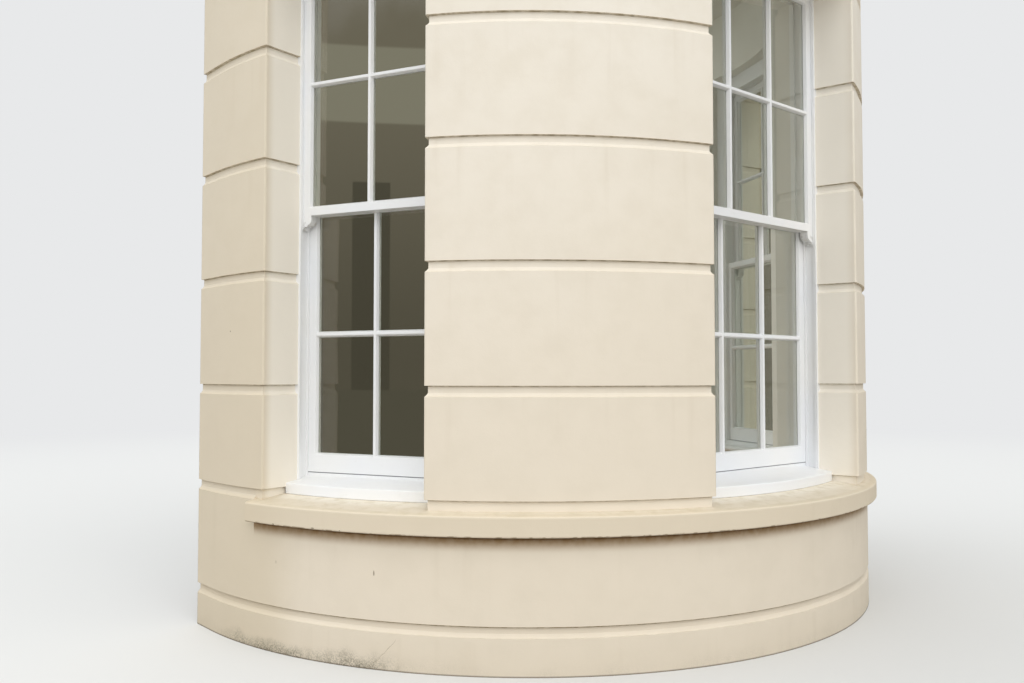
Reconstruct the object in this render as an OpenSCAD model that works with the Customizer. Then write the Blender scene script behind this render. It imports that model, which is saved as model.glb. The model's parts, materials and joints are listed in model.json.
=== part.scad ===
// Ground storey bow window of a stuccoed house.
// A half-round wall on two short straight flanks carries three sash windows.
// The front looks along -Y, the house wall would stand against the back plane at +Y, and the ground is Z = 0.

/* [Plan] */
// Radius of the stucco face
bow_r = 1700; // [1500:10:2040]
// Thickness of the wall with its stucco and plaster
wall_t = 390; // [370:1:468]
// Straight flank between the half circle and the house wall
flank = 135; // [80:5:300]
// Angle between the axes of the centre and side windows
side_a = 65.25; // [62:0.25:67]
// Width of the centre opening between its reveals
centre_w = 994; // [850:2:1080]
// Width of each side opening between its reveals
side_w = 710; // [600:2:852]
// Depth of the outer reveals, from the arris to the frame
reveal_d = 168; // [140:2:202]
// Angle by which the outer reveals close in towards the frame
splay_a = 11.5; // [0:0.5:14]

/* [Courses] */
// Height of one stucco course
course_h = 441; // [400:1:529]
// Height of the lowest course of the piers
foot_course_h = 400; // [360:1:480]
// Upper edge of the joint at the foot of the piers
foot_z = 602; // [560:1:660]
// Upper edge of the joint in the apron wall
plinth_z = 172; // [120:1:240]
// Height of a joint between courses
joint_h = 40; // [20:1:50]
// Depth of a joint between courses
joint_d = 12; // [6:1:18]
// Radius of the rounded arrises of the openings
arris_r = 8; // [4:1:12]

/* [Sill course] */
// How far the stucco sill stands out from the wall
sill_out = 40; // [20:1:70]
// Height of the front of the stucco sill
sill_front_h = 74; // [50:1:110]
// How far the stucco sill runs past the arris of the side opening
sill_past = 50; // [20:5:90]

/* [Cornice] */
// How far the cornice stands out from the wall
cornice_out = 150; // [120:1:200]
// Height of the cornice
cornice_h = 168; // [150:1:220]

/* [Windows] */
// Courses from the foot joint to the head of the openings, after the lowest one
head_courses = 4; // [3:1:5]
// Panes across the centre window
centre_cols = 3; // [2:1:4]
// Panes across each side window
side_cols = 2; // [1:1:3]
// Level of the top of the meeting rails
meeting_z = 1718; // [1500:1:1900]
// Thickness of a sash
sash_t = 38; // [34:1:45]
// Width of the sash stiles
stile_w = 45; // [38:1:60]
// Height of the bottom rail of the lower sash
bottom_rail_h = 80; // [60:1:110]
// Height of the top rail of the upper sash
top_rail_h = 45; // [38:1:70]
// Height of the two meeting rails
meeting_rail_h = 40; // [30:1:50]
// Width of a glazing bar at the sight line
bar_w = 25; // [16:1:30]
// Thickness of the glass
glass_t = 3; // [3:1:6]
// Length of the horns below the upper sash
horn_h = 58; // [30:1:80]

/* [Timber sill] */
// Radius of the bowed nose of the timber sills
nose_r_back = 115; // [90:5:140]
// Height of the nose of the timber sills
nose_h = 43; // [35:1:60]
// Fall of the sloping top of the timber sills in degrees
sill_fall = 8; // [6:0.5:10]

/* [Floor and roof] */
// Level of the floor inside
floor_z = 280; // [230:5:400]
// Thickness of the floor boards
floor_board_t = 22; // [18:1:32]
// Depth of the floor and roof joists
joist_h = 150; // [120:5:170]
// Width of a joist
joist_w = 50; // [40:5:75]
// Distance between joists
joist_step = 400; // [350:10:500]
// Thickness of the roof boards
roof_board_t = 22; // [18:1:32]
// Thickness of the ceiling plaster
ceiling_t = 18; // [12:1:30]
// Thickness of the lead
lead_t = 4; // [3:1:6]
// Distance between the rolls that join the sheets of lead
roll_step = 650; // [500:10:750]
// Height of the skirting board
skirting_h = 150; // [100:5:220]

/* [Hidden] */
$fn = 360;

stucco_colour = [0.89, 0.85, 0.77];
paint_colour = [0.94, 0.94, 0.95];
plaster_colour = [0.93, 0.92, 0.89];
timber_colour = [0.72, 0.57, 0.40];
lead_colour = [0.52, 0.54, 0.56];
glass_colour = [0.55, 0.60, 0.58, 0.5];

// Clearance between pieces that fit round a curve
fit = 0.3;
// How far two cuts that meet run into each other
overlap = 5;
// How far the cutters run on in front of the wall and into the room
front_reach = 60;
room_reach = 250;
inner_r = bow_r - wall_t;
split_a = side_a / 2 + 2.5;

// Levels of the courses
head_z = foot_z + foot_course_h + head_courses * course_h;
pier_joints = [for (i = [0:head_courses]) foot_z + foot_course_h + i * course_h];
wall_top = head_z + course_h;
band_top = foot_z - joint_h;
band_front_top = band_top - 6;
band_z = band_front_top - sill_front_h;
ledge_z = floor_z - floor_board_t - joist_h;
ledge_w = 60;
band_end_a = side_a + asin(side_w / 2 / bow_r) + sill_past / bow_r * 180 / PI;
// The joints in the reveals lie this much lower than those of the face, so that no two edges coincide
return_drop = 0.2;

// Sizes of the openings and of what fits in them
rebate_w = 80;
rebate_h = 60;
frame_t = 122;
lining_t = 14;
lining_show = 9;
head_show = 25;
lining_lap = 8;
bead_t = 9;
sash_play = 0.5;
side_play = 2;
upper_d = lining_t + sash_play;
lower_d = upper_d + sash_t + sash_play + bead_t + sash_play;
seat_z = band_top + 13;
nose_r = bow_r - nose_r_back;
nose_z = seat_z + nose_h;
// The flat seat of the sash lies over the slope of the sill, however deep the frame stands
sash_foot_z = nose_z + max(30, 1 + sill_rise(side_w), 1 + sill_rise(centre_w));
lower_glass = [sash_foot_z + bottom_rail_h, meeting_z - meeting_rail_h];
upper_glass = [meeting_z, head_z - head_show + lining_lap - side_play - top_rail_h];
glass_d = 15;
glass_bite = 6;
putty_w = 7;
meeting_lip = bead_t / 2;
horn_lip = 6;
horn_round = 14;
horn_square = 18;
board_t = 25;
board_out = 35;
board_horn = 40;

// Levels and sizes of the roof
joist_end_r = bow_r - 155;
deck_z = wall_top + joist_h;
deck_top = deck_z + roof_board_t;
deck_r = bow_r - 140;
beam_t = 75;
roll_w = 44;
roll_h = 38;

// The whole model is centred on its own box, from the front of the lead to the back plane
lead_out = 6;
shift_y = (bow_r + cornice_out + lead_out - flank) / 2;

// Distance of an opening's arrises and of its frame from the middle of the bay, and its width at the frame
function arris_d(w) = sqrt(pow(bow_r, 2) - pow(w / 2, 2));
function frame_face(w) = arris_d(w) - reveal_d;
function frame_w(w) = w - 2 * reveal_d * tan(splay_a);
// How far the slope of the sill has risen where it meets the lower sash
function sill_rise(w) = (nose_r - frame_face(w) + lower_d) * tan(sill_fall);

// Section of one joint as [depth behind the face, level], from its bevelled lower edge to its sharp upper edge
function joint(j) = [
    [0, j - joint_h],
    [joint_d * 0.2, j - joint_h + 1.5],
    [joint_d * 0.65, j - joint_h + joint_d * 0.6],
    [joint_d, j - joint_h + joint_d * 1.2],
    [joint_d, j],
    [0, j]
];

// Face of a wall from z0 to z1; a joint that ends at z1 leaves its upper edge to the course above
function face(z0, z1, joints) = concat(
    [[0, z0]],
    [for (j = joints) for (p = joint(j)) if (p[1] < z1 || p[0] > 0) p],
    len(joints) > 0 && joints[len(joints) - 1] == z1 ? [] : [[0, z1]]
);

function reversed(list) = [for (i = [len(list) - 1:-1:0]) list[i]];

// Points of an arc from angle a0 to a1
function arc(c, r, a0, a1, n) = [for (i = [0:n]) c + r * [cos(a0 + (a1 - a0) * i / n), sin(a0 + (a1 - a0) * i / n)]];

module placed() translate([0, shift_y, 0]) children();

// Turns a section of radius and height through the angles a0 to a1, counted from the front
module turned(a0, a1) rotate([0, 0, a0 - 90]) rotate_extrude(angle = a1 - a0) children();

// Turns a section from the angle a0 to the right end of the half circle and straight back along the flank
module turned_to_flank(a0) {
    mirror([0, 1, 0]) rotate_extrude(angle = 90 - a0) children();
    along_y(0, flank) children();
}

module on_side(side) mirror([side < 0 ? 1 : 0, 0, 0]) children();

// Stands a section up, so that its Y is height, and extrudes it from y0 to y1
module along_y(y0, y1) translate([0, y0, 0]) mirror([0, 1, -1]) linear_extrude(y1 - y0) children();

// One part of a ring: side -1 left, 0 centre, 1 right; the outer parts run on over the flank
module ring_part(side) {
    if (side == 0) turned(-split_a, split_a) children();
    else on_side(side) turned_to_flank(split_a) children();
}

// A whole half ring with both flanks
module whole_ring() for (s = [-1, 1]) on_side(s) turned_to_flank(0) children();

module wall_section(z0, z1, joints) {
    outer = [for (p = face(z0, z1, joints)) [bow_r - p[0], p[1]]];
    polygon(concat([[inner_r, z0]], outer, [[inner_r, z1]]));
}

// Stands at the arris of an opening, with Y along its splayed reveal towards the frame and X into the wall
module at_arris(w, s) on_side(s) translate([w / 2, -arris_d(w), 0]) rotate([0, 0, splay_a]) children();

// Space between the reveals from z0 to z1, wider by d on each side, from in front of the face to y1 behind the frame's face
module between_reveals(w, d, y1, z0, z1) {
    depths = [-bow_r - front_reach, -frame_face(w) + y1];
    half = [for (y = depths) w / 2 + d / cos(splay_a) - (y + arris_d(w)) * tan(splay_a)];
    translate([0, 0, z0]) linear_extrude(z1 - z0) polygon([
        [-half[0], depths[0]], [half[0], depths[0]], [half[1], depths[1]], [-half[1], depths[1]]
    ]);
}

// Masonry opening of a window, with the joints returned into its reveals and a wider rebate behind the frame
module opening(w) {
    edge = face(foot_z - overlap, head_z - return_drop, [for (j = pier_joints) j - return_drop]);
    side = concat([[-overlap, foot_z - overlap]], edge, [[joint_d, head_z + overlap], [-overlap, head_z + overlap]]);
    between_reveals(w, -overlap / 2, overlap, foot_z - overlap, head_z + overlap);
    for (s = [-1, 1]) at_arris(w, s) {
        along_y(-front_reach, reveal_d / cos(splay_a) + overlap) polygon(side);
        arris(w);
    }
    rebate(w, foot_z - overlap, head_z + overlap);
}

module rebate(w, z0, z1) {
    half = frame_w(w) / 2 + rebate_w;
    reach = frame_face(w) - inner_r + room_reach;
    translate([-half, -frame_face(w), z0]) cube([2 * half, reach, z1 - z0]);
}

// Rounds a vertical arris between the reveal and the round face with a few narrow faces
module arris(w) {
    middle = [arris_d(w) * sin(splay_a) - w / 2 * cos(splay_a), arris_d(w) * cos(splay_a) + w / 2 * sin(splay_a)];
    away = arris_r - middle[0];
    back = sqrt(pow(bow_r - arris_r, 2) - pow(away, 2));
    bend = arc([arris_r, middle[1] - back], arris_r, 180, 360 + atan2(-back, away), 4);
    first = bend[0] + 0.5 * (bend[0] - bend[1]);
    last = bend[4] + 0.5 * (bend[4] - bend[3]);
    translate([0, 0, foot_z - overlap]) linear_extrude(head_z - foot_z + 2 * overlap)
        polygon(concat([[-2, -2], first], [for (i = [1:3]) bend[i]], [last]));
}

module at_window(side) rotate([0, 0, side * side_a]) children();

// Apron wall with a ledge inside for the floor joists; past the stucco sill it runs up to the piers
module apron(side) color(stucco_colour) placed() {
    low = [for (p = face(0, band_z, [plinth_z])) [bow_r - p[0], p[1]]];
    ledge_r = inner_r - ledge_w;
    ring_part(side) polygon(concat(
        [[ledge_r, 0]], low, [[inner_r, band_z], [inner_r, ledge_z], [ledge_r, ledge_z]]
    ));
    if (side != 0) difference() {
        on_side(side) turned_to_flank(band_end_a) wall_section(band_z, foot_z, [foot_z]);
        at_window(side) sill_seat(side_w);
    }
}

// Stucco sill with a sloping top, which also carries the foot of the piers
module sill_section() {
    out = bow_r + sill_out;
    polygon(concat(
        [[inner_r, band_z], [out - 3, band_z], [out, band_z + 4]],
        arc([out - 8, band_front_top - 8], 8, 0, 80, 4),
        [[bow_r - joint_d, band_top + 2], [bow_r - joint_d, foot_z], [inner_r, foot_z]]
    ));
}

// Seat of a timber sill, with a fall in front of it
module sill_seat(w) {
    half = frame_w(w) / 2 + rebate_w;
    front = bow_r + front_reach;
    top = foot_z + 2 * overlap;
    intersection() {
        turned(-90, 90) polygon([[inner_r, seat_z], [nose_r + overlap, seat_z], [front, band_top - 9],
                                 [front, top], [inner_r, top]]);
        between_reveals(w, joint_d, overlap, band_z, foot_z + front_reach);
    }
    translate([-half, -frame_face(w), seat_z]) cube([2 * half, frame_t, top - seat_z]);
}

module sill_course(side) color(stucco_colour) placed() difference() {
    if (side == 0) turned(-split_a, split_a) sill_section();
    else on_side(side) turned(split_a, band_end_a) sill_section();
    for (s = [-1, 0, 1]) at_window(s) sill_seat(s == 0 ? centre_w : side_w);
}

module end_pier(side) color(stucco_colour) placed() difference() {
    on_side(side) turned_to_flank(side_a) wall_section(foot_z, head_z, pier_joints);
    at_window(side) opening(side_w);
}

module mid_pier(side) color(stucco_colour) placed() difference() {
    on_side(side) turned(0, side_a) wall_section(foot_z, head_z, pier_joints);
    at_window(0) opening(centre_w);
    at_window(side) opening(side_w);
}

module head_course(side) color(stucco_colour) placed() difference() {
    ring_part(side) wall_section(head_z, wall_top, [wall_top]);
    for (s = [-1, 0, 1]) at_window(s) rebate(s == 0 ? centre_w : side_w, head_z - 1, head_z + rebate_h);
}

// Cornice: bed mould, drip and corona, and a crowning ogee
module cornice_section() {
    out = cornice_out;
    h = cornice_h;
    step = 12;
    cove = 28;
    bed = step + cove + 4;
    soffit = bed + 10;
    corona = out - 34;
    crown = corona + 5;
    points = concat(
        [[0, 0], [step, 0], [step, bed - cove]],
        arc([step + cove, bed - cove], cove, 180, 90, 6),
        [[bed, bed], [bed, soffit], [corona - 14, soffit], [corona - 14, soffit + 6], [corona - 6, soffit + 6],
         [corona - 6, soffit], [corona, soffit], [corona, h - 62], [crown, h - 62], [crown, h - 54]],
        arc([crown, h - 37], 17, 270, 350, 4),
        arc([out + 5, h - 26], 15, 180, 112, 4),
        [[out, h - 10], [out, h - 2]]
    );
    polygon(concat([for (p = points) [bow_r + p[0], wall_top + p[1]]],
                   [[deck_r, deck_top], [deck_r, wall_top]]));
}

module cornice(side) color(stucco_colour) placed() ring_part(side) cornice_section();

module half_round(r, z, h) translate([0, 0, z]) linear_extrude(h) {
    intersection() {
        circle(r);
        translate([-r, -r]) square([2 * r, r]);
    }
    translate([-r, 0]) square([2 * r, flank]);
}

// Lead sheet: flat over the boards, dressed down over the cornice and turned under its edge
module lead_section() {
    edge = bow_r + cornice_out;
    polygon([
        [0, deck_top], [deck_r, deck_top], [edge, wall_top + cornice_h - 2], [edge, wall_top + cornice_h - 30],
        [edge + lead_out, wall_top + cornice_h - 30], [edge + lead_out, wall_top + cornice_h + 3],
        [deck_r, deck_top + lead_t], [0, deck_top + lead_t]
    ]);
}

// Roll over the joint between two sheets, from the back to a sloping front end
module lead_roll(x) {
    z = deck_top + lead_t / 2;
    r = roll_w / 2;
    front = -sqrt(pow(deck_r, 2) - pow(abs(x) + r, 2));
    intersection() {
        translate([x, 0, 0]) along_y(front, flank) polygon(concat(
            [[-r, z], [r, z]], arc([0, z + roll_h - r], r, 0, 180, 8)
        ));
        translate([x - roll_w, 0, 0]) rotate([90, 0, 90]) linear_extrude(2 * roll_w) polygon([
            [front - 1, z - 1], [front + roll_h, z + roll_h + 1], [flank + 1, z + roll_h + 1], [flank + 1, z - 1]
        ]);
    }
}

module lead_roof() color(lead_colour) placed() {
    whole_ring() lead_section();
    n = floor(deck_r / roll_step);
    for (s = [-1, 1], i = [1:n]) lead_roll(s * (i - 0.5) * roll_step);
}

module roof_boards() color(timber_colour) placed() half_round(deck_r - 1, deck_z, roof_board_t);

module joist_row(end_r, z) {
    n = floor((end_r - joist_w) / joist_step);
    for (i = [-n:n]) {
        x = i * joist_step;
        front = sqrt(pow(end_r, 2) - pow(abs(x) + joist_w / 2, 2));
        translate([x - joist_w / 2, -front, z]) cube([joist_w, front + flank - beam_t, joist_h]);
    }
}

module roof_joists() color(timber_colour) placed() joist_row(joist_end_r, wall_top);

module roof_beam() color(timber_colour) placed()
    translate([-joist_end_r, flank - beam_t, wall_top]) cube([2 * joist_end_r, beam_t, joist_h]);

module ceiling() color(plaster_colour) placed() half_round(inner_r - fit, wall_top - ceiling_t, ceiling_t);

module floor_boards() color(timber_colour) placed() half_round(inner_r - fit, floor_z - floor_board_t, floor_board_t);

module floor_joists() color(timber_colour) placed() joist_row(inner_r - 10, ledge_z);

module floor_beam() color(timber_colour) placed()
    translate([-inner_r + 10, flank - beam_t, ledge_z]) cube([2 * inner_r - 20, beam_t, joist_h]);

module skirting_section() {
    back = inner_r - fit;
    polygon([[back - 18, floor_z], [back, floor_z], [back, floor_z + skirting_h], [back - 8, floor_z + skirting_h],
             [back - 18, floor_z + skirting_h - 22]]);
}

module skirting() color(paint_colour) placed() whole_ring() skirting_section();

// Timber sill: a round nose in front, a top that falls outwards, and a flat seat under the lower sash.
// As the cutter for the frame that stands on it, it runs past its own ends and back by more.
module timber_sill_solid(w, more = 0) {
    f = frame_face(w);
    half = frame_w(w) / 2 + rebate_w + more;
    back_r = inner_r - room_reach;
    intersection() {
        turned(-90, 90) polygon(concat(
            [[back_r, seat_z], [nose_r - 3, seat_z], [nose_r, seat_z + 3]],
            arc([nose_r - 6, nose_z - 6], 6, 0, 80, 3),
            [[back_r, nose_z + (nose_r - back_r) * tan(sill_fall)]]
        ));
        union() {
            between_reveals(w, 0, 1, seat_z, head_z);
            translate([-half, -f, seat_z]) cube([2 * half, lower_d + overlap, head_z - seat_z]);
        }
    }
    translate([-half, -f + lower_d, seat_z]) cube([2 * half, frame_t - lower_d + more, sash_foot_z - seat_z]);
}

module timber_sill(side) color(paint_colour) placed() at_window(side) timber_sill_solid(width(side));

function width(side) = side == 0 ? centre_w : side_w;
function cols(side) = side == 0 ? centre_cols : side_cols;

// Space in a box frame: between the linings, and wider in the two channels, at the jambs as at the head
module frame_space(w) {
    half = frame_w(w) / 2 - lining_show;
    top = head_z - head_show;
    steps = [[upper_d - sash_play, 0], [upper_d + sash_t + sash_play, lining_lap], [lower_d - sash_play, 1],
             [lower_d + sash_t + sash_play, lining_lap], [frame_t + 1, -1]];
    edge = [for (i = [0:4]) for (d = [i == 0 ? -1 : steps[i - 1][0], steps[i][0]]) [d, steps[i][1]]];
    right = [for (p = edge) [half + p[1], p[0]]];
    left = [for (p = reversed(right)) [-p[0], p[1]]];
    translate([0, -frame_face(w), 0]) intersection() {
        translate([0, 0, band_z]) linear_extrude(head_z - band_z) polygon(concat(right, left));
        translate([-w / 2, 0, 0]) rotate([90, 0, 90]) linear_extrude(w)
            polygon(concat([[-1, seat_z]], [for (p = edge) [p[0], top + p[1]]], [[frame_t + 1, seat_z]]));
    }
}

// Box frame: outer lining, channels for two sashes with a parting bead between them, and an inner bead
module window_frame(side) color(paint_colour) placed() at_window(side) {
    w = width(side);
    outer = frame_w(w) / 2 + rebate_w;
    foot = seat_z + nose_h / 2;
    difference() {
        difference() {
            translate([-outer, -frame_face(w), foot]) cube([2 * outer, frame_t, head_z + rebate_h - foot]);
            frame_space(w);
        }
        timber_sill_solid(w, overlap);
    }
}

// Section of the wood round a pane as [distance past the sight line, depth behind the sash face]
function pane_edge() = concat(
    [[putty_w, -1], [putty_w, 0], [0.5, glass_d], [glass_bite, glass_d], [glass_bite, glass_d + glass_t],
     [0, glass_d + glass_t], [0, glass_d + glass_t + 2]],
    arc([putty_w, glass_d + glass_t + 3], putty_w - 0.5, 180, 100, 4),
    [[putty_w, sash_t], [putty_w, sash_t + 1]]
);

module pane_outline(size) {
    right = [for (p = pane_edge()) [size / 2 + p[0], p[1]]];
    left = [for (p = reversed(right)) [-p[0], p[1]]];
    polygon(concat(right, left));
}

module pane_void(pw, ph) intersection() {
    linear_extrude(ph + 40, center = true) pane_outline(pw);
    rotate([0, 90, 0]) linear_extrude(pw + 40, center = true) pane_outline(ph);
}

function sash_w(w) = frame_w(w) - 2 * lining_show + 2 * lining_lap - 2 * side_play;
function pane_w(w, n) = (sash_w(w) - 2 * stile_w - (n - 1) * bar_w) / n;
function pane_h(z0, z1) = (z1 - z0 - bar_w) / 2;

// Runs its children at the middle of each of the panes between z0 and z1
module each_pane(w, n, z0, z1) {
    pw = pane_w(w, n);
    ph = pane_h(z0, z1);
    for (i = [0:n - 1], k = [0, 1])
        translate([(i - (n - 1) / 2) * (pw + bar_w), 0, z0 + ph / 2 + k * (ph + bar_w)]) children();
}

module sash(w, n, d, z0, z1, glass) {
    sw = sash_w(w);
    difference() {
        translate([-sw / 2, -frame_face(w) + d, z0]) cube([sw, sash_t, z1 - z0]);
        translate([0, -frame_face(w) + d, 0]) each_pane(w, n, glass[0], glass[1])
            pane_void(pane_w(w, n), pane_h(glass[0], glass[1]));
    }
}

module lower_sash(side) color(paint_colour) placed() at_window(side) {
    w = width(side);
    sash(w, cols(side), lower_d, sash_foot_z, meeting_z, lower_glass);
    half = frame_w(w) / 2 - lining_show - 1;
    translate([-half, -frame_face(w) + lower_d - meeting_lip, meeting_z - meeting_rail_h])
        cube([2 * half, meeting_lip, meeting_rail_h]);
}

// Horn: the end of an upper stile, cut to a hollow under a quarter round
module horn() {
    step = horn_lip + horn_round + 4;
    round_r = stile_w - step;
    along_y(-sash_t, 0) polygon(concat(
        [[0, overlap], [0, -horn_h], [horn_lip, -horn_h]],
        arc([horn_lip + horn_round, -horn_h], horn_round, 180, 90, 4),
        [[step, -horn_h + horn_round]],
        arc([step, -horn_square], round_r, 270, 360, 5),
        [[stile_w, overlap]]
    ));
}

module upper_sash(side) color(paint_colour) placed() at_window(side) {
    w = width(side);
    f = frame_face(w);
    z0 = meeting_z - meeting_rail_h;
    top = upper_glass[1] + top_rail_h;
    sash(w, cols(side), upper_d, z0, top, upper_glass);
    half = frame_w(w) / 2 - lining_show - 1;
    translate([-half, -f + upper_d + sash_t, z0]) cube([2 * half, meeting_lip, meeting_rail_h]);
    for (s = [0, 1]) mirror([s, 0, 0]) translate([-sash_w(w) / 2, -f + upper_d + sash_t, z0]) horn();
}

module glass(side) color(glass_colour) placed() at_window(side) {
    w = width(side);
    n = cols(side);
    bite = glass_bite - 0.5;
    for (k = [[lower_d, lower_glass], [upper_d, upper_glass]])
        translate([0, -frame_face(w) + k[0] + glass_d, 0]) each_pane(w, n, k[1][0], k[1][1])
            translate([-pane_w(w, n) / 2 - bite, 0, -pane_h(k[1][0], k[1][1]) / 2 - bite])
                cube([pane_w(w, n) + 2 * bite, glass_t, pane_h(k[1][0], k[1][1]) + 2 * bite]);
}

// Window board with a rounded nosing and short horns past the opening
module window_board(side) color(paint_colour) placed() at_window(side) {
    w = width(side);
    back = frame_face(w) - frame_t;
    half = frame_w(w) / 2 + rebate_w;
    nose = inner_r - board_out;
    intersection() {
        turned(-90, 90) polygon(concat(
            arc([nose + board_t / 2, foot_z + board_t / 2], board_t / 2, 270, 90, 6),
            [[bow_r, foot_z + board_t], [bow_r, foot_z]]
        ));
        union() {
            translate([-half, -back, foot_z]) cube([2 * half, back, board_t]);
            intersection() {
                translate([-half - board_horn, -back, foot_z]) cube([2 * half + 2 * board_horn, back, board_t]);
                cylinder(h = foot_z + board_t + 1, r = inner_r - fit);
            }
        }
    }
}

apron(-1);  // apron_left
apron(0);  // apron_centre
apron(1);  // apron_right
sill_course(-1);  // sill_course_left
sill_course(0);  // sill_course_centre
sill_course(1);  // sill_course_right
end_pier(-1);  // end_pier_left
mid_pier(-1);  // mid_pier_left
mid_pier(1);  // mid_pier_right
end_pier(1);  // end_pier_right
head_course(-1);  // head_course_left
head_course(0);  // head_course_centre
head_course(1);  // head_course_right
cornice(-1);  // cornice_left
cornice(0);  // cornice_centre
cornice(1);  // cornice_right
lead_roof();
roof_boards();
roof_joists();
roof_beam();
ceiling();
floor_boards();
floor_joists();
floor_beam();
skirting();
window_frame(-1);  // window_frame_left
timber_sill(-1);  // timber_sill_left
upper_sash(-1);  // upper_sash_left
lower_sash(-1);  // lower_sash_left
glass(-1);  // glass_left
window_board(-1);  // window_board_left
window_frame(0);  // window_frame_centre
timber_sill(0);  // timber_sill_centre
upper_sash(0);  // upper_sash_centre
lower_sash(0);  // lower_sash_centre
glass(0);  // glass_centre
window_board(0);  // window_board_centre
window_frame(1);  // window_frame_right
timber_sill(1);  // timber_sill_right
upper_sash(1);  // upper_sash_right
lower_sash(1);  // lower_sash_right
glass(1);  // glass_right
window_board(1);  // window_board_right
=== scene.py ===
# %% [markdown]
# # A bow window in painted stucco
# The part is a bay of one storey: a half-round brick wall, run over with stucco that is struck into courses,
# three sliding sash windows, a moulded cornice and a flat roof dressed in lead.
# The construction comes ready at its real size. What is made here is how it looks: the paint on the stucco,
# the gloss on the joinery, old glass, boards, lead, and the light of a plain studio.
# Each step below says what a thing is on the real bay, how it could be made, and why it is made this way.

# %% Load the frame
import json
import math

import bpy
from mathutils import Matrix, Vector


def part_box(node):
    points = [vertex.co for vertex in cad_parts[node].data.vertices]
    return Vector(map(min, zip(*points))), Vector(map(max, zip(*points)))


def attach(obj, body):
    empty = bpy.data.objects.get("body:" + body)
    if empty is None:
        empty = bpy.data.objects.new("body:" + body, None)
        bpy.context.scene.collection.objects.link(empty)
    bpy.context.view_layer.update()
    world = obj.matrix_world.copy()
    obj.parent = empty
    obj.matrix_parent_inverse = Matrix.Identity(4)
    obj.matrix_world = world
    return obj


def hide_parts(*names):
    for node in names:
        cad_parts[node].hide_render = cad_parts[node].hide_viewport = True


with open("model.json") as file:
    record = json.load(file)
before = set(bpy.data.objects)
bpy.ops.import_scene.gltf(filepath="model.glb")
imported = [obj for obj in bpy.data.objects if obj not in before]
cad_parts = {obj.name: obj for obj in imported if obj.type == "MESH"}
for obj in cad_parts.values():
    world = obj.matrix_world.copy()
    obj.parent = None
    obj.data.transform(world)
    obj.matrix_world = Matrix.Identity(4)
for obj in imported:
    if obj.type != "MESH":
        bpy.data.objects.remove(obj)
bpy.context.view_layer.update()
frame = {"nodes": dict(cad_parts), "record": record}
nodes = frame["nodes"]
print("pieces in the frame:", len(nodes))

# %% [markdown]
# ## Sizes that the finishes need
# Dirt gathers in the joints, mildew at the foot, and plaster starts behind the window frames, so the
# finishes have to know where these places are. They are read from the boxes of the pieces, so that they
# follow the construction. The ceiling fills the half circle inside the wall, which gives the circle's
# radius and centre.

# %% Read the main sizes from the frame
head_low, head_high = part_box("head_course_centre")
ceiling_low, ceiling_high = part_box("ceiling")
INNER_RADIUS = (ceiling_high.x - ceiling_low.x) / 2
CENTRE_Y = ceiling_low.y + INNER_RADIUS
WALL_RADIUS = CENTRE_Y - head_low.y
WALL = WALL_RADIUS - INNER_RADIUS
BACK_PLANE = ceiling_high.y
HEAD = head_low.z
COURSE = head_high.z - head_low.z
FOOT_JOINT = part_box("end_pier_left")[0].z
SILL_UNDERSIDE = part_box("sill_course_centre")[0].z
FLOOR_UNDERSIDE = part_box("floor_boards")[0].z
SASH_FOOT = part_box("lower_sash_centre")[0].z
HORN_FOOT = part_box("upper_sash_centre")[0].z
print("radius of the wall", round(WALL_RADIUS, 4), "thickness", round(WALL, 4), "course", round(COURSE, 4))

# %% [markdown]
# ## The camera
# The view is that of somebody close to the bay, to its left, who looks up a little: a moderate wide angle,
# about one metre above the ground. Place, direction and focal length were worked out from the lines of the
# stucco joints, so that the model lies in the picture where the real bay does.

# %% Place the camera
EYE = Vector((-3.2311, -2.8177, 1.040))
TURN_RIGHT = math.radians(40.59)
LOOK_UP = math.radians(2.08)
SENSOR_WIDTH = 36
FOCAL_LENGTH = 32.33
VIEW_REACH = 200

camera_data = bpy.data.cameras.new("camera")
camera_data.sensor_width = SENSOR_WIDTH
camera_data.lens = FOCAL_LENGTH
camera_data.clip_end = VIEW_REACH
camera = bpy.data.objects.new("camera", camera_data)
camera.location = EYE
camera.rotation_euler = (math.pi / 2 + LOOK_UP, 0, -TURN_RIGHT)
bpy.context.scene.collection.objects.link(camera)
bpy.context.scene.camera = camera
print("the camera stands at", tuple(round(v, 3) for v in EYE))

# %% [markdown]
# ## Shader maths in plain Python
# A finish is a sum of small masks: dirt here, a crack there. Written as nodes one by one that is hard to
# read. `Wire` wraps the output of a node, so that `1 - mask` or `height * 0.002` adds the Math node by
# itself. `Finish.node` makes any other node: its settings go in first, then the values or wires of its
# sockets.

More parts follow.
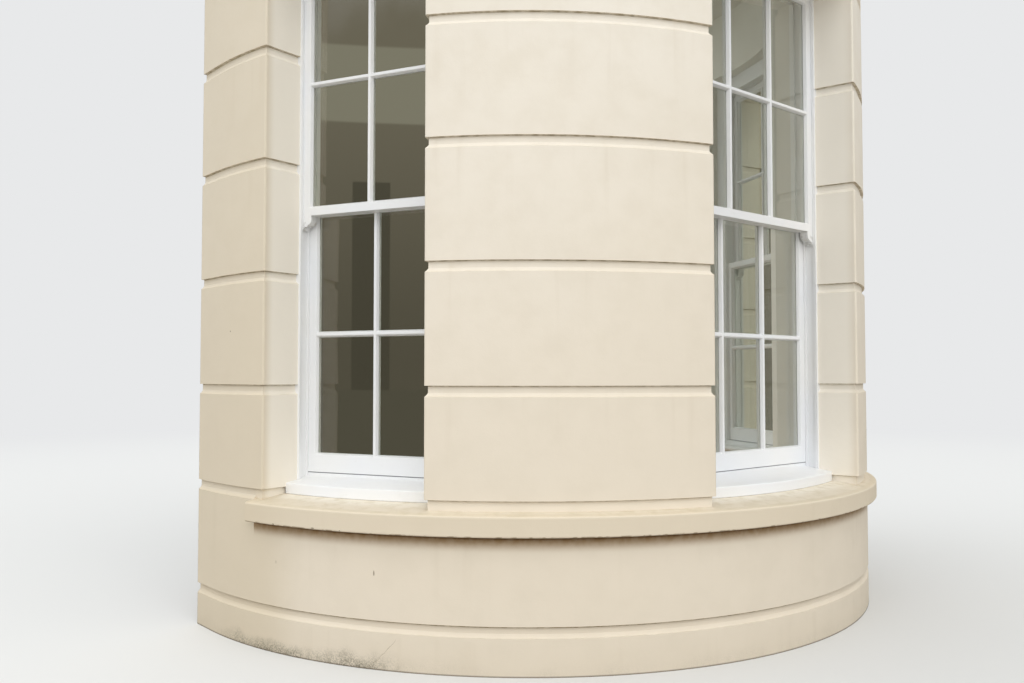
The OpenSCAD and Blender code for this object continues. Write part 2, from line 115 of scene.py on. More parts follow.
# %% Wires that do arithmetic
class Wire:
    """One output of a node. Arithmetic on it adds Math nodes to the same finish."""

    def __init__(self, finish, socket):
        self.finish = finish
        self.socket = socket

    def math(self, operation, *others):
        values = dict(enumerate([self, *others]))
        return self.finish.node("ShaderNodeMath", {"operation": operation}, values)

    def __add__(self, other):
        return self.math("ADD", other)

    def __sub__(self, other):
        return self.math("SUBTRACT", other)

    def __rsub__(self, other):
        return self.finish.node("ShaderNodeMath", {"operation": "SUBTRACT"}, {0: other, 1: self})

    def __mul__(self, other):
        return self.math("MULTIPLY", other)

    def __truediv__(self, other):
        return self.math("DIVIDE", other)

    __radd__ = __add__
    __rmul__ = __mul__

    def greatest(self, other):
        return self.math("MAXIMUM", other)

    def least(self, other):
        return self.math("MINIMUM", other)

    def over(self, low, high):
        """0 at low and before it, 1 at high and past it, smooth between. It falls where low is above high."""
        first = 0.0 if low < high else 1.0
        values = {0: self, 1: min(low, high), 2: max(low, high), 3: first, 4: 1.0 - first}
        return self.finish.node("ShaderNodeMapRange", {"interpolation_type": "SMOOTHSTEP"}, values)

    def band(self, low, high, soft):
        """1 between low and high, with soft edges inside them."""
        return self.over(low, low + soft) * self.over(high, high - soft)


# %% A finish and its nodes
class Finish:
    """A material, or the sky, under construction."""

    def __init__(self, name, blocks=bpy.data.materials):
        self.material = blocks.new(name)
        self.material.use_nodes = True
        self.tree = self.material.node_tree
        self.tree.nodes.clear()
        self.place = self.node("ShaderNodeTexCoord", output="Object")
        self.x, self.y, self.z = self.parts(self.place)

    def node(self, kind, settings=None, inputs=None, output=0):
        made = self.tree.nodes.new(kind)
        for name, value in (settings or {}).items():
            setattr(made, name, value)
        for name, value in (inputs or {}).items():
            if isinstance(value, Wire):
                self.tree.links.new(value.socket, made.inputs[name])
            else:
                made.inputs[name].default_value = value
        return Wire(self, made.outputs[output]) if made.outputs else None

    def parts(self, vector):
        first = self.node("ShaderNodeSeparateXYZ", {}, {0: vector})
        return [Wire(self, output) for output in first.socket.node.outputs]

    def vector(self, x, y, z):
        return self.node("ShaderNodeCombineXYZ", {}, {0: x, 1: y, 2: z})

    def scaled(self, scale, place=None):
        """The place on the bay, stretched by one scale along each axis."""
        values = {0: place or self.place, 1: scale}
        return self.node("ShaderNodeVectorMath", {"operation": "MULTIPLY"}, values)

    def noise(self, scale, detail=2.0, place=None, roughness=0.5):
        values = {"Vector": place or self.place, "Scale": scale, "Detail": detail, "Roughness": roughness}
        return self.node("ShaderNodeTexNoise", {}, values)

    def mix(self, share, first, second):
        """A colour between two, by a share from 0 to 1."""
        return self.node("ShaderNodeMix", {"data_type": "RGBA"}, {0: share, 6: first, 7: second}, output=2)

    def bump(self, height, strength=1.0):
        """A normal from a height in metres."""
        return self.node("ShaderNodeBump", {}, {"Strength": strength, "Distance": 1.0, "Height": height})

    def ray_is(self, *kinds):
        """1 for rays of any of these kinds of Light Path, 0 for the rest."""
        found = [self.node("ShaderNodeLightPath", output="Is %s Ray" % kind) for kind in kinds]
        while len(found) > 1:
            found.append(found.pop().greatest(found.pop()))
        return found[0]

    def surface(self, sockets):
        """Ends the finish with one Principled shader."""
        shader = self.node("ShaderNodeBsdfPrincipled", {}, sockets)
        self.node("ShaderNodeOutputMaterial", {}, {0: shader})
        return self.material


def colour(red, green, blue):
    """A colour as a paint chart gives it, in steps from 0 to 255."""
    linear = [((value / 255 + 0.055) / 1.055) ** 2.4 for value in (red, green, blue)]
    return (*linear, 1.0)


print("the cream of the stucco is", [round(v, 3) for v in colour(226, 217, 200)])

# %% [markdown]
# ## Painted stucco
# The wall is brick, rendered in lime and cement, struck into courses, and painted with many coats of cream
# masonry paint. Up close it shows the sweep of the float, the stipple of the roller, hairline cracks, and
# weather: grey in the joints where rain rests, dark spots at the foot, faint runs below each ledge.
# Light and shade are painted in as well: shade under the sill, in the joints, on the flanks and on the sill
# course, and light in the reveals and on the undersides of the joints.
# A photograph could be wrapped round the wall, but it would repeat and blur. Noise in real metres does
# neither. The same wall is plastered inside and shows its bricks where it is cut at the back plane, so the
# finish asks how deep behind the outer face a point lies, and changes over to plaster or brick.

# %% Where on the wall a point lies
JOINT = 0.040
PLINTH_JOINT = 0.172
RENDER_COAT = 0.020
PLASTER_COAT = 0.015
PLASTER_FROM = 0.220
REVEAL = 0.170
ARRIS = 0.004
SILL_END = 2.34
FLANK_FROM = 2.30
HAIR = 0.0005


def wall_place(finish):
    """Depth behind the outer face and length round the curve; the straight flanks count as tangents."""
    behind = finish.y - CENTRE_Y
    forward = behind.least(0.0)
    radius = (finish.x * finish.x + forward * forward).math("SQRT")
    angle = finish.x.math("ARCTAN2", HAIR - forward)
    return WALL_RADIUS - radius, angle * WALL_RADIUS


def below_joint(finish):
    """Distance down from the joint above, for the courses of the piers."""
    courses = (finish.z - HEAD) / COURSE
    return (1 - courses.math("FRACT")) * COURSE


def in_joint(finish, height):
    """A mask of the uppermost part of every joint, where the overhang keeps rain and dirt and casts shade."""
    among_piers = finish.z.over(FOOT_JOINT + 0.10, FOOT_JOINT + 0.11)
    upper = below_joint(finish).over(height, height * 0.6) * among_piers
    foot = finish.z.band(FOOT_JOINT - height, FOOT_JOINT + HAIR, HAIR)
    plinth = finish.z.band(PLINTH_JOINT - 1.5 * height, PLINTH_JOINT + HAIR, HAIR)
    return upper.greatest(foot).greatest(plinth * 1.6)


print("a course repeats every", round(COURSE, 3), "m below", round(HEAD, 3))

# %% Bricks, for the places where the wall was cut
BRICK_LENGTH = 0.225
BRICK_COURSE = 0.075


def bricks(finish, along):
    """Colour and mortar mask of stock bricks laid along a wall."""
    spread = finish.noise(2.5, 3)
    warm = finish.mix(spread.over(0.35, 0.65), colour(160, 118, 90), colour(184, 154, 112))
    dark = finish.mix(spread.over(0.3, 0.7), colour(124, 96, 78), colour(148, 124, 96))
    values = {"Vector": finish.vector(along, finish.z, 0.0), "Color1": warm, "Color2": dark,
              "Mortar": colour(186, 178, 162), "Scale": 1.0, "Mortar Size": 0.006, "Mortar Smooth": 0.3,
              "Bias": 0.0, "Brick Width": BRICK_LENGTH, "Row Height": BRICK_COURSE}
    laid = finish.node("ShaderNodeTexBrick", {}, values)
    return laid, Wire(finish, laid.socket.node.outputs["Fac"])


# %% The coats of paint on the stucco
REVEAL_LIGHT_RAMP = 0.050
LEDGE = 0.020


def coats(finish, depth, along):
    """Cream paint: darker at the foot, runs, painted shade on flanks and sill course, painted light in
    reveals.
    """
    beside = along.math("ABSOLUTE")
    tone = finish.noise(0.8, 2).over(0.3, 0.7)
    paint = finish.mix(tone, colour(235, 227, 212), colour(239, 232, 219))
    # Darker and warmer towards the foot, from the head course down to 0.3 m.
    paint = finish.mix(finish.z.over(HEAD, 0.3) * 0.6, paint, colour(228, 214, 192))
    cloud = finish.noise(9, 4).over(0.35, 0.75)
    paint = finish.mix(cloud * 0.25, paint, colour(219, 208, 188))
    runs = finish.noise(1.0, 4, finish.scaled((16.0, 16.0, 0.9))).over(0.55, 0.80)
    fade = below_joint(finish).over(COURSE, 0.03)
    paint = finish.mix(runs * fade * 0.22, paint, colour(204, 190, 166))
    # Painted shade: the flanks far round the curve are made darker and warmer.
    flank = beside.over(FLANK_FROM - 0.25, FLANK_FROM)
    paint = finish.mix(flank * 0.60, paint, colour(212, 198, 172))
    # Painted light: the reveals are made paler than the open wall.
    reveal_light = depth.over(-ARRIS, REVEAL_LIGHT_RAMP) * depth.over(REVEAL + ARRIS, REVEAL)
    reveal_light = reveal_light * finish.z.over(FOOT_JOINT - JOINT, FOOT_JOINT - JOINT + 0.01)
    paint = finish.mix(reveal_light * 0.8, paint, colour(248, 242, 230))
    # Painted shade: the projecting sill course below the foot joint is made darker and warmer.
    ledge = depth.over(-ARRIS, -LEDGE) * finish.z.over(FOOT_JOINT + 0.01, FOOT_JOINT)
    return finish.mix(ledge * 0.60, paint, colour(219, 205, 180))


# %% Dirt, painted shade and painted light in the joints and round the sill
JOINT_DIRT_AND_SHADE = 0.0040
SILL_SHADOW_REACH = 0.060
SILL_LINE = 0.016
DRIP_EDGE = 0.006


def joint_light_shade_and_dirt(finish, depth, normal_z, patchiness, paint):
    """Painted light on the underside inside each joint, and a line of dirt and painted shade where it meets
    the back.
    """
    # Painted light: the undersides inside the joints are made paler than their shade would leave them.
    soffit = normal_z.over(-0.5, -0.9) * depth.band(-0.002, 0.020, 0.001)
    paint = finish.mix(soffit * 0.9, paint, colour(252, 245, 232))
    # Dirt and painted shade: a dark line in the uppermost part of each joint, under the overhang.
    dirt_and_shade = in_joint(finish, JOINT_DIRT_AND_SHADE) * (0.25 + patchiness * 0.45)
    return finish.mix(dirt_and_shade, paint, colour(146, 126, 82))


def sill_shadow_and_dirt(finish, along, patchiness, paint):
    """Painted shadow and brown dirt on the wall right under the sill, with a darker line at the top."""
    under_sill = along.math("ABSOLUTE").over(SILL_END + HAIR, SILL_END)
    below = finish.z.over(SILL_UNDERSIDE + 2 * HAIR, SILL_UNDERSIDE + HAIR) * under_sill
    # Painted shadow with dirt: brown below the sill's underside, darkest in a thin line right under it.
    shade = finish.z.over(SILL_UNDERSIDE - SILL_SHADOW_REACH, SILL_UNDERSIDE - 0.010) * below
    paint = finish.mix(shade * (0.80 + patchiness * 0.15), paint, colour(150, 116, 70))
    line = finish.z.over(SILL_UNDERSIDE - SILL_LINE, SILL_UNDERSIDE - 0.007) * below
    return finish.mix(line * (0.6 + patchiness * 0.35), paint, colour(98, 70, 40))


def sill_dust(finish, depth, normal_z, paint):
    """Dust on whatever faces up, and dark drips along the lower edge of the sill."""
    dust = normal_z.over(0.6, 0.9) * (0.7 + finish.noise(22, 4).over(0.40, 0.75))
    paint = finish.mix(dust * 0.42, paint, colour(208, 195, 168))
    drip = finish.z.band(SILL_UNDERSIDE - HAIR, SILL_UNDERSIDE + DRIP_EDGE, 0.002)
    drip = drip * depth.over(-0.005, -0.010) * finish.noise(26, 5).over(0.52, 0.62)
    return finish.mix(drip * 0.6, paint, colour(132, 108, 76))


# %% Mildew along the foot
MILDEW_FROM = 1.60
MILDEW_TO = 2.62


def foot_mildew(finish, along, paint):
    """Grey mildew and splashed dirt along the ground, most of all where the ends of the sill drip."""
    below_drip = along.math("ABSOLUTE").band(MILDEW_FROM, MILDEW_TO, 0.26) * 0.9 + 0.1
    patch = finish.noise(5.0, 3, finish.scaled((1.0, 1.0, 0.3))).over(0.30, 0.52) * below_drip
    top = 0.015 + finish.noise(7.0, 3) * 0.10
    near_ground = (finish.z / top).over(1.0, 0.0)
    spots = finish.noise(190, 6, roughness=0.80).over(0.47, 0.56)
    film = finish.noise(36, 4).over(0.35, 0.65)
    splashed = finish.z.over(0.22, 0.0)
    paint = finish.mix(splashed * 0.25, paint, colour(206, 193, 170))
    paint = finish.mix(patch * near_ground * (0.15 + film * 0.35), paint, colour(140, 134, 114))
    paint = finish.mix(patch * near_ground * spots * 0.8, paint, colour(84, 80, 66))
    # Darker in the last few millimetres above the ground.
    darkest_at_ground = finish.z.over(0.007, 0.001)
    return finish.mix(darkest_at_ground * 0.75, paint, colour(84, 72, 54))


# %% Hairline cracks
HAIRLINES = [
    ((-1.800, -0.010), (-1.672, 0.118)),
    ((1.490, 0.482), (1.425, 0.300)),
    ((0.515, 2.760), (0.560, 2.930))]


def cracks(finish, along):
    """Thin bent lines, each from one point to another: length round the wall, height."""
    bend = (finish.noise(11, 4) - 0.5) * 0.045
    drawn = None
    for (start_s, start_z), (end_s, end_z) in HAIRLINES:
        reach = math.hypot(end_s - start_s, end_z - start_z)
        run_s = (end_s - start_s) / reach
        run_z = (end_z - start_z) / reach
        over_s = along - start_s
        over_z = finish.z - start_z
        forward = over_s * run_s + over_z * run_z
        aside = over_s * run_z - over_z * run_s + bend
        line = aside.math("ABSOLUTE").over(0.0012, 0.0003) * forward.band(0.0, reach, 0.02)
        drawn = line if drawn is None else drawn.greatest(line)
    return drawn


# %% Small knocks
KNOCKS = [
    (-1.764, 0.338, 0.0028, 0.011), (-2.209, 0.337, 0.0016, 0.008), (-2.183, 0.486, 0.006, 0.003),
    (-1.995, 0.487, 0.008, 0.003), (-1.880, 0.486, 0.004, 0.002), (0.740, 0.351, 0.003, 0.008),
    (1.260, 0.487, 0.009, 0.003), (2.060, 0.486, 0.006, 0.003), (-2.520, 1.214, 0.004, 0.004)]


def knocks(finish, along):
    """Dents of a few millimetres at single places: length round the wall, height, half width, half height."""
    ragged = finish.noise(160, 2) * 0.9
    dents = None
    for at_s, at_z, half_s, half_z in KNOCKS:
        over_s = (along - at_s) / half_s
        over_z = (finish.z - at_z) / half_z
        dent = (over_s * over_s + over_z * over_z + ragged).over(1.5, 0.7)
        dents = dent if dents is None else dents.greatest(dent)
    return dents


# %% Stucco, plaster and brick in one finish
BOND_SHIFT = 0.06
MORTAR_DEPTH = 0.004
CRACK_DEPTH = 0.0004
KNOCK_DEPTH = 0.0012


def stucco():
    """Paint on the outer side, plaster on the inner side, and the wall's section where it is cut."""
    finish = Finish("painted_stucco")
    depth, along = wall_place(finish)
    normal_z = finish.parts(finish.node("ShaderNodeNewGeometry", output="Normal"))[2]
    patchiness = finish.noise(40, 4).over(0.30, 0.72)
    paint = coats(finish, depth, along)
    paint = joint_light_shade_and_dirt(finish, depth, normal_z, patchiness, paint)
    paint = sill_shadow_and_dirt(finish, along, patchiness, paint)
    paint = foot_mildew(finish, along, paint)
    paint = sill_dust(finish, depth, normal_z, paint)
    crack = cracks(finish, along)
    paint = finish.mix(crack * 0.5, paint, colour(150, 132, 104))
    chip = knocks(finish, along)
    paint = finish.mix(chip * 0.75, paint, colour(128, 112, 90))

    patchy = finish.noise(3, 3).over(0.3, 0.7)
    emulsion = finish.mix(patchy, colour(234, 233, 226), colour(228, 226, 218))
    inside = depth.over(PLASTER_FROM, PLASTER_FROM + HAIR)
    laid, mortar = bricks(finish, along)
    under_floor = inside * finish.z.over(FLOOR_UNDERSIDE, FLOOR_UNDERSIDE - HAIR)
    skin = finish.mix(under_floor, finish.mix(inside, paint, emulsion), laid)

    cut = finish.y.over(BACK_PLANE - 2 * HAIR, BACK_PLANE - HAIR)
    end_bricks, end_mortar = bricks(finish, finish.x + BOND_SHIFT)
    core = depth.over(RENDER_COAT - HAIR, RENDER_COAT)
    above_floor = finish.z.over(FLOOR_UNDERSIDE, FLOOR_UNDERSIDE + HAIR)
    lined = depth.band(WALL - PLASTER_COAT, WALL, HAIR) * above_floor
    section = finish.mix(core, colour(176, 168, 152), end_bricks)
    section = finish.mix(lined, section, colour(214, 208, 196))
    finished = finish.mix(cut, skin, section)

    sweep = finish.noise(2.6, 1) * 0.0070 + finish.noise(13, 2) * 0.0015
    stipple = finish.noise(170, 3) * 0.00028
    outside = 1 - inside
    rough_brick = (under_floor * mortar + cut * core * end_mortar) * MORTAR_DEPTH
    damage = (crack * CRACK_DEPTH + chip * KNOCK_DEPTH) * outside
    height = sweep * (1 - cut) + stipple * outside - damage - rough_brick
    chalky = 0.74 + finish.noise(6, 3) * 0.12
    return finish.surface({"Base Color": finished, "Roughness": chalky, "Specular IOR Level": 0.35,
                           "Normal": finish.bump(height)})


STUCCO = stucco()
print("the stucco's finish has", len(STUCCO.node_tree.nodes), "nodes")

# %% [markdown]
# ## Gloss paint on the joinery
# Frames, sashes, sills and boards carry thick white oil gloss, laid on with a brush. The brush leaves fine
# lines, dust settles on whatever faces up, dirt and painted shade fill the seam under the lower sash, and
# hands have rubbed the horns grey. The white is kept a little below pure white, as real paint is, so that
# highlights on it still have room.

# %% White gloss
HORN = 0.050


def gloss_paint(name, seam_over=None, worn_below=None):
    """White oil gloss, with a seam of dirt and painted shade just over one height, or rubbed grey below
    another.
    """
    finish = Finish(name)
    normal_z = finish.parts(finish.node("ShaderNodeNewGeometry", output="Normal"))[2]
    tone = finish.noise(2.0, 2).over(0.3, 0.7)
    paint = finish.mix(tone, colour(238, 240, 243), colour(242, 242, 241))
    worn = finish.noise(34, 5, roughness=0.7).over(0.58, 0.76)
    paint = finish.mix(worn * 0.18, paint, colour(218, 216, 210))
    dust = normal_z.over(0.35, 0.95) * (0.25 + finish.noise(28, 3).over(0.3, 0.7) * 0.75)
    paint = finish.mix(dust * 0.05, paint, colour(198, 192, 178))
    if seam_over is not None:
        # Painted shade and dirt: a dark line along the seam just above the foot of the lower sash.
        seam = finish.z.over(seam_over + 0.0045, seam_over + 0.0025)
        paint = finish.mix(seam * 0.9, paint, colour(74, 76, 80))
    if worn_below is not None:
        rubbed = finish.z.over(worn_below, worn_below - 0.02) * finish.noise(45, 4).over(0.46, 0.66)
        paint = finish.mix(rubbed * 0.50, paint, colour(156, 152, 142))
    strokes = finish.noise(1.0, 3, finish.scaled((420.0, 420.0, 9.0))) * 0.00010
    sags = finish.noise(18, 2) * 0.00035
    gloss = 0.26 + worn * 0.22 + finish.noise(8, 2) * 0.10
    return finish.surface({"Base Color": paint, "Roughness": gloss, "Normal": finish.bump(strokes + sags)})


GLOSS = gloss_paint("white_gloss")
SASH_GLOSS = gloss_paint("white_gloss_of_sash", seam_over=SASH_FOOT)
HORN_GLOSS = gloss_paint("white_gloss_of_horns", worn_below=HORN_FOOT + HORN)
print("the gloss paint has", len(GLOSS.node_tree.nodes), "nodes")

# %% [markdown]
# ## Old glass
# The panes are thin, clear with a faint green, and slightly wavy, so they bend what they mirror. From
# outside such panes look dark, because a room swallows light. This bay is open at its back, so that room is
# part of the studio further down. A tinted pane would have darkened the linings behind it as well, and in
# the real window those stand out pale. Light passes through the glass, so that the bay isn't dark inside.

# %% Glass
def old_glass():
    """Clear glass with waves. To light on its way into the room it is simply transparent."""
    finish = Finish("old_glass")
    waves = finish.noise(1.0, 1, finish.scaled((5.0, 5.0, 2.2))) * 0.0011
    pane = finish.node("ShaderNodeBsdfPrincipled", {}, {
        "Base Color": colour(236, 238, 230), "Roughness": 0.015, "IOR": 1.5, "Transmission Weight": 1.0,
        "Normal": finish.bump(waves)})
    clear = finish.node("ShaderNodeBsdfTransparent", {}, {0: colour(230, 232, 226)})
    lights_the_room = finish.ray_is("Shadow")
    shader = finish.node("ShaderNodeMixShader", {}, {0: lights_the_room, 1: pane, 2: clear})
    finish.node("ShaderNodeOutputMaterial", {}, {0: shader})
    return finish.material


GLASS = old_glass()
print("the glass has", len(GLASS.node_tree.nodes), "nodes")

# %% [markdown]
# ## Lead, timber and plaster
# Sheet lead on a roof turns from blue-grey to a soft chalky grey, with darker runs where water leaves it.
# The joists are sawn softwood and the floor is of pine boards, each from another log, so each board gets its
# own tone. The ceiling is smooth plaster under matt white.

# %% Lead
def weathered_lead():
    """Grey lead with a paler bloom and darker runs along the fall of the roof."""
    finish = Finish("weathered_lead")
    patina = finish.noise(2.4, 6, roughness=0.7).over(0.30, 0.72)
    lead = finish.mix(patina, colour(138, 143, 147), colour(153, 157, 159))
    bloom = finish.noise(26, 5, roughness=0.7).over(0.50, 0.75)
    lead = finish.mix(bloom * 0.22, lead, colour(178, 180, 178))
    runs = finish.noise(1.0, 3, finish.scaled((24.0, 1.6, 24.0))).over(0.5, 0.75)
    lead = finish.mix(runs * 0.35, lead, colour(112, 116, 118))
    dressed = finish.noise(14, 2) * 0.0016 + finish.noise(60, 2) * 0.0003
    return finish.surface({"Base Color": lead, "Metallic": 0.35, "Roughness": 0.5 + patina * 0.2,
                           "Normal": finish.bump(dressed)})


LEAD = weathered_lead()
print("the lead has", len(LEAD.node_tree.nodes), "nodes")

# %% Sawn timber and floor boards
def wood(name, grain_scale, light, dark, polish):
    """Softwood whose grain runs along the axis with the small scale."""
    finish = Finish(name)
    each = finish.node("ShaderNodeNewGeometry", output="Random Per Island")
    shifted = finish.node("ShaderNodeVectorMath", {"operation": "ADD"},
                          {0: finish.scaled(grain_scale), 1: finish.vector(each * 17, each * 5, each * 11)})
    rings = finish.noise(1.0, 4, shifted, roughness=0.6).over(0.36, 0.68)
    fibre = finish.noise(6.0, 3, shifted)
    tone = finish.mix(rings, light, dark)
    tone = finish.mix(each * 0.45, tone, colour(150, 112, 72))
    height = rings * 0.0003 + fibre * 0.0003
    return finish.surface({"Base Color": tone, "Roughness": polish + fibre * 0.2,
                           "Normal": finish.bump(height)})


SAWN = wood("sawn_joist", (60.0, 2.0, 60.0), colour(206, 178, 136), colour(182, 148, 104), 0.6)
SAWN_BEAM = wood("sawn_beam", (2.0, 60.0, 60.0), colour(204, 176, 136), colour(180, 146, 104), 0.6)
BOARDS = wood("floor_pine", (2.0, 60.0, 60.0), colour(196, 150, 98), colour(160, 112, 66), 0.4)
print("the floor boards have", len(BOARDS.node_tree.nodes), "nodes")

# %% Matt plaster
def ceiling_plaster():
    """Matt white over smooth plaster with the faint waves of the float."""
    finish = Finish("ceiling_plaster")
    tone = finish.noise(2.5, 3).over(0.3, 0.7)
    white = finish.mix(tone, colour(232, 231, 226), colour(224, 222, 215))
    height = finish.noise(3, 2) * 0.002 + finish.noise(40, 2) * 0.0002
    return finish.surface({"Base Color": white, "Roughness": 0.85, "Normal": finish.bump(height)})


PLASTER = ceiling_plaster()
print("finishes made:", len(bpy.data.materials))

# %% [markdown]
# ## Dressing the frame
# Each piece of the frame already has a material slot that says what it is made of. The finish goes into that
# slot, and the mesh stays as it is.

# %% Give every piece of the frame its finish
FINISH_OF_SLOT = {"stucco": STUCCO, "white_paint": GLOSS, "glass": GLASS, "lead": LEAD, "timber": SAWN,
                  "plaster": PLASTER}
slot_of_node = {row["node"]: row["material_slot"] for row in frame["record"]["subparts"]}
for name, slot_name in slot_of_node.items():
    for slot in nodes[name].material_slots:
        slot.material = SAWN_BEAM if name.endswith("_beam") else FINISH_OF_SLOT[slot_name]
print("dressed", len(slot_of_node), "pieces")

# %% [markdown]
# ## Tools for modelling by hand
# Operators act on whatever is selected, so every step first selects only its own piece.
# The joinery is modelled on copies of the frame's pieces. Such a copy is loose triangles, so its points are
# joined and its flat faces made whole again before an edge can be worked.

# %% Select, copy, apply
SAME_POINT = 0.00002
SAME_PLANE = math.radians(0.3)


def only(*objects):
    """Leaves just these objects selected, and the first one active."""
    bpy.ops.object.select_all(action="DESELECT")
    for item in objects:
        item.select_set(True)
    bpy.context.view_layer.objects.active = objects[0]


def skin_of(node, name):
    """A copy of a frame piece as one closed skin with whole flat faces."""
    made = bpy.data.objects.new(name, nodes[node].data.copy())
    bpy.context.scene.collection.objects.link(made)
    only(made)
    bpy.ops.mesh.customdata_custom_splitnormals_clear()
    bpy.ops.object.mode_set(mode="EDIT")
    bpy.ops.mesh.select_all(action="SELECT")
    bpy.ops.mesh.remove_doubles(threshold=SAME_POINT)
    bpy.ops.mesh.dissolve_limited(angle_limit=SAME_PLANE)
    bpy.ops.object.mode_set(mode="OBJECT")
    return made


def modify(piece, kind, **settings):
    """Adds a modifier with these settings and applies it."""
    modifier = piece.modifiers.new(kind.lower(), kind)
    for name, value in settings.items():
        setattr(modifier, name, value)
    only(piece)
    bpy.ops.object.modifier_apply(modifier=modifier.name)


def stand_for(piece, node, finish):
    """Puts a finished piece in the place of a frame piece."""
    piece.data.materials.clear()
    piece.data.materials.append(finish)
    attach(piece, "root")
    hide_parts(node)
    print(piece.name, "has", len(piece.data.polygons), "faces")


# %% [markdown]
# ## Joinery with eased arrises
# No joiner leaves a knife edge: each arris is rubbed down by a millimetre or two, and paint fills it
# further. That small round catches the light, and it opens the joint between two pieces to a fine dark
# line, which is what makes a window read as many pieces of wood. So each sash, frame, sill and board gets a
# narrow bevel on its sharp edges. The facets of mouldings and curves meet at flat angles, so the angle
# limit leaves them alone.

# %% Ease every sharp edge
EASING = {"upper_sash": 0.0018, "lower_sash": 0.0018, "window_frame": 0.0018, "timber_sill": 0.0030,
          "window_board": 0.0025}
SKIRTING_EASING = 0.0020
SHARP = math.radians(34)


def eased(node, width, finish):
    """Puts a copy with rounded arrises in the place of a frame piece."""
    piece = skin_of(node, node + "_painted")
    modify(piece, "TRIANGULATE")
    only(piece)
    bpy.ops.object.shade_smooth()
    modify(piece, "BEVEL", width=width, segments=2, limit_method="ANGLE", angle_limit=SHARP)
    modify(piece, "WEIGHTED_NORMAL", keep_sharp=True)
    stand_for(piece, node, finish)


GLOSS_OF_KIND = {"lower_sash": SASH_GLOSS, "upper_sash": HORN_GLOSS}
for kind, easing in EASING.items():
    for side in ("left", "centre", "right"):
        eased(kind + "_" + side, easing, GLOSS_OF_KIND.get(kind, GLOSS))
eased("skirting", SKIRTING_EASING, GLOSS)

# %% [markdown]
# ## Floor and roof boards
# The floor is laid with boards about 14 cm wide, side by side across the joists, with hairline gaps. One
# board is modelled, its long edges are eased with a bevel, and an array repeats it. Then the whole deck is
# cut to the outline of the bay, as a joiner scribes boards to a curved wall. The roof deck under the lead is
# made alike.

# %% Lay boards over an outline
BOARD = 0.140
BOARD_GAP = 0.002
BOARD_EASING = 0.0015
BOARD_WASTE = 0.1


def boarded(node, name, finish):
    """Lays eased boards in the place of one flat frame piece, cut to its outline."""
    low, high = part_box(node)
    count = math.ceil((high.y - low.y) / BOARD) + 1
    first = high.y - BOARD / 2
    bpy.ops.mesh.primitive_cube_add(size=1, location=(0, 0, 0))
    deck = bpy.context.active_object
    deck.name = name
    bpy.ops.transform.resize(value=(high.x - low.x + BOARD_WASTE, BOARD - BOARD_GAP, high.z - low.z))
    bpy.ops.object.transform_apply(scale=True)
    modify(deck, "BEVEL", width=BOARD_EASING, segments=1, limit_method="ANGLE")
    modify(deck, "ARRAY", count=count, use_relative_offset=False, use_constant_offset=True,
           constant_offset_displace=(0, -BOARD, 0))
    only(deck)
    bpy.ops.transform.translate(value=(0, first, (low.z + high.z) / 2))
    bpy.ops.object.transform_apply(location=True, rotation=True, scale=True)
    outline = skin_of(node, "outline")
    modify(deck, "BOOLEAN", operation="INTERSECT", solver="EXACT", object=outline)
    bpy.data.objects.remove(outline)
    stand_for(deck, node, finish)


boarded("floor_boards", "floor_planks", BOARDS)
boarded("roof_boards", "roof_planks", BOARDS)

# %% [markdown]
# ## The studio
# The bay stands on a plain pale floor under soft light from all round, stronger from above and from the left
# than from the right. Floor and background are pale for the camera, and not because more light falls on the
# bay: for the light that bounces, the floor is dimmer. Glass and paint mirror the pale floor near the bay and
# the pale sky, but a duskier band between them, because the lowest part of a real sky is never empty.
# The room that the bay opens into isn't built. Rays that go through a pane towards it find a dim wall that
# grows darker downwards, with a paler cornice, an opening to an unlit hall, and a dim floor.

# %% The dim room behind the panes
ROOM_HIGH = colour(112, 105, 91)
ROOM_LOW = colour(82, 76, 64)
ROOM_CORNICE = colour(140, 136, 121)
ROOM_HALL = colour(62, 57, 46)
ROOM_FLOOR = colour(79, 74, 62)


def towards_room(finish, x, y):
    """1 where a direction or a place lies behind the bay, 0 to the sides and in front."""
    length = (x * x + y * y).math("SQRT") + HAIR
    return (y / length).over(0.35, 0.62)


# %% Floor, with squared distances at which it melts into the background
PALE = colour(232, 233, 234)
DUSKY = colour(118, 122, 110)
STUDIO = 60.0
MELTS_WHEN_SEEN = (20.0, 220.0)
MELTS_WHEN_MIRRORED = (5.0, 70.0)
ROOM_BEGINS = (1.0, 1.5)

bpy.ops.object.select_all(action="DESELECT")
bpy.ops.mesh.primitive_circle_add(vertices=64, radius=STUDIO, fill_type="NGON", location=(0, 0, 0))
floor = bpy.context.active_object
floor.name = "studio_floor"
ground = Finish("pale_floor")
away_squared = ground.x * ground.x + ground.y * ground.y
mirrored = ground.ray_is("Glossy")
far = away_squared.over(*MELTS_WHEN_SEEN).greatest(mirrored * away_squared.over(*MELTS_WHEN_MIRRORED))
seen = ground.ray_is("Camera", "Glossy", "Transmission")
tone = ground.mix(seen, colour(160, 155, 146), colour(221, 221, 219))
uneven = ground.bump(ground.noise(3, 2) * 0.0004)
matt = ground.node("ShaderNodeBsdfPrincipled", {}, {
    "Base Color": tone, "Roughness": 0.9, "Specular IOR Level": 0.1, "Normal": uneven})
glow = ground.node("ShaderNodeEmission", {}, {0: ground.mix(mirrored, PALE, DUSKY), 1: 1.0})
open_floor = ground.node("ShaderNodeMixShader", {}, {0: far, 1: matt, 2: glow})
indoors = ground.ray_is("Transmission") * towards_room(ground, ground.x, ground.y)
indoors = indoors * ground.y.over(*ROOM_BEGINS)
room_floor = ground.node("ShaderNodeEmission", {}, {0: ROOM_FLOOR, 1: 1.0})
whole_floor = ground.node("ShaderNodeMixShader", {}, {0: indoors, 1: open_floor, 2: room_floor})
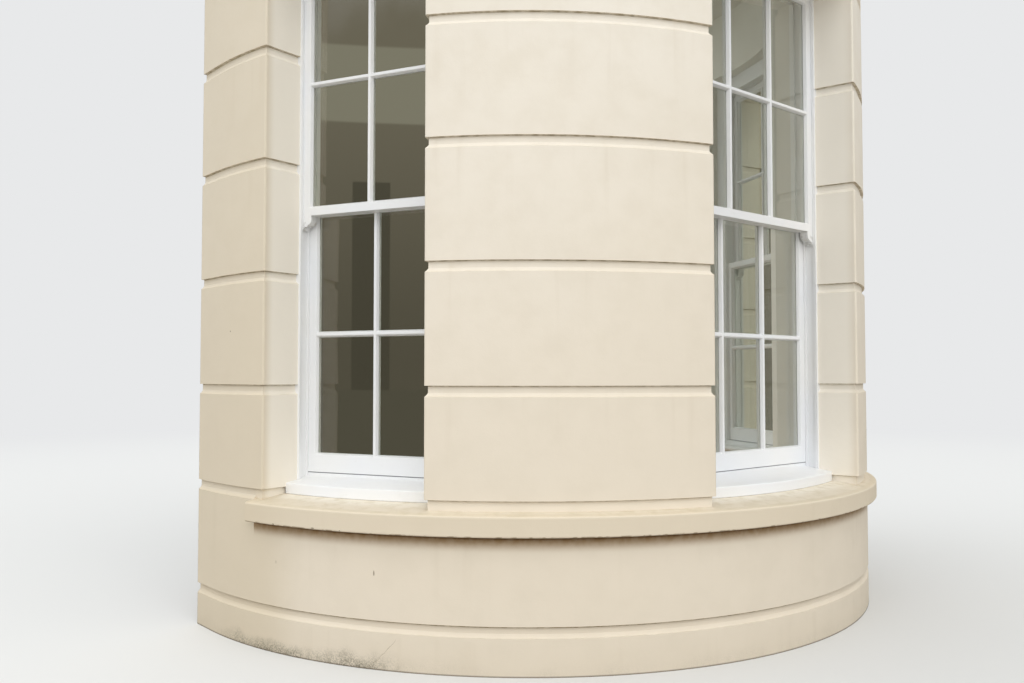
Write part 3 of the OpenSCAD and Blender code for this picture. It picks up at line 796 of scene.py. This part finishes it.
ground.node("ShaderNodeOutputMaterial", {}, {0: whole_floor})
floor.data.materials.append(ground.material)
print("floor radius", STUDIO)

# %% Sky
SKY_AT_HORIZON = 1.12
SKY_OVERHEAD = 1.30
SHADED_SIDE = 0.80
SKY_LIGHT = (0.96, 0.98, 1.0, 1.0)
DUSK = (0.20, 0.10)
ROOM_PALEST_AT = 0.36
CORNICE_FROM = 0.262
CORNICE_TO = 0.338
HALL_FROM = 0.592
HALL_TO = 0.650
HALL_TOP = 0.205

sky = Finish("studio_sky", bpy.data.worlds)
bpy.context.scene.world = sky.material
sideways, ahead, upward = sky.parts(sky.node("ShaderNodeTexCoord", output="Generated"))
strength = upward.over(-0.2, 0.9) * (SKY_OVERHEAD - SKY_AT_HORIZON) + SKY_AT_HORIZON
strength = strength * (1 - sideways.over(0.15, 0.95) * SHADED_SIDE)
light = sky.node("ShaderNodeBackground", {}, {0: SKY_LIGHT, 1: strength})
ragged = upward - sky.noise(3.5, 5, sky.vector(sideways, ahead, upward)) * 0.5
mirrored = sky.mix(sky.ray_is("Glossy") * ragged.over(*DUSK), PALE, DUSKY)
room = sky.mix(upward.over(0.0, ROOM_PALEST_AT), ROOM_LOW, ROOM_HIGH)
room = sky.mix(upward.band(CORNICE_FROM, CORNICE_TO, 0.003) * 0.75, room, ROOM_CORNICE)
hall = (sideways / (ahead.greatest(0.0) + HAIR)).band(HALL_FROM, HALL_TO, 0.002)
hall = hall * upward.over(HALL_TOP, HALL_TOP - 0.002)
room = sky.mix(hall * 0.75, room, ROOM_HALL)
behind_pane = sky.ray_is("Transmission") * towards_room(sky, sideways, ahead)
backdrop = sky.node("ShaderNodeBackground", {}, {0: sky.mix(behind_pane, mirrored, room), 1: 1.0})
seen = sky.ray_is("Camera", "Glossy", "Transmission")
whole_sky = sky.node("ShaderNodeMixShader", {}, {0: seen, 1: light, 2: backdrop})
sky.node("ShaderNodeOutputWorld", {}, {0: whole_sky})
print("the sky shines with", SKY_AT_HORIZON, "at the horizon and", SKY_OVERHEAD, "overhead")

# %% Sun
SUN_STRENGTH = 0.78
SUN_WIDTH = math.radians(50)
SUN_FROM_OVERHEAD = math.radians(48)
SUN_FROM_LEFT = math.radians(26)
SUN_COLOUR = (1.0, 0.975, 0.94)

sun_data = bpy.data.lights.new("soft_sun", "SUN")
sun_data.energy = SUN_STRENGTH
sun_data.angle = SUN_WIDTH
sun_data.color = SUN_COLOUR
sun = bpy.data.objects.new("soft_sun", sun_data)
sun.rotation_euler = (SUN_FROM_OVERHEAD, 0, -SUN_FROM_LEFT)
bpy.context.scene.collection.objects.link(sun)
bpy.context.scene.view_settings.view_transform = "Standard"
print("strength of the sun", sun_data.energy)

# %% [markdown]
# ## Last step

# %% Bring the scene up to date
bpy.context.view_layer.update()
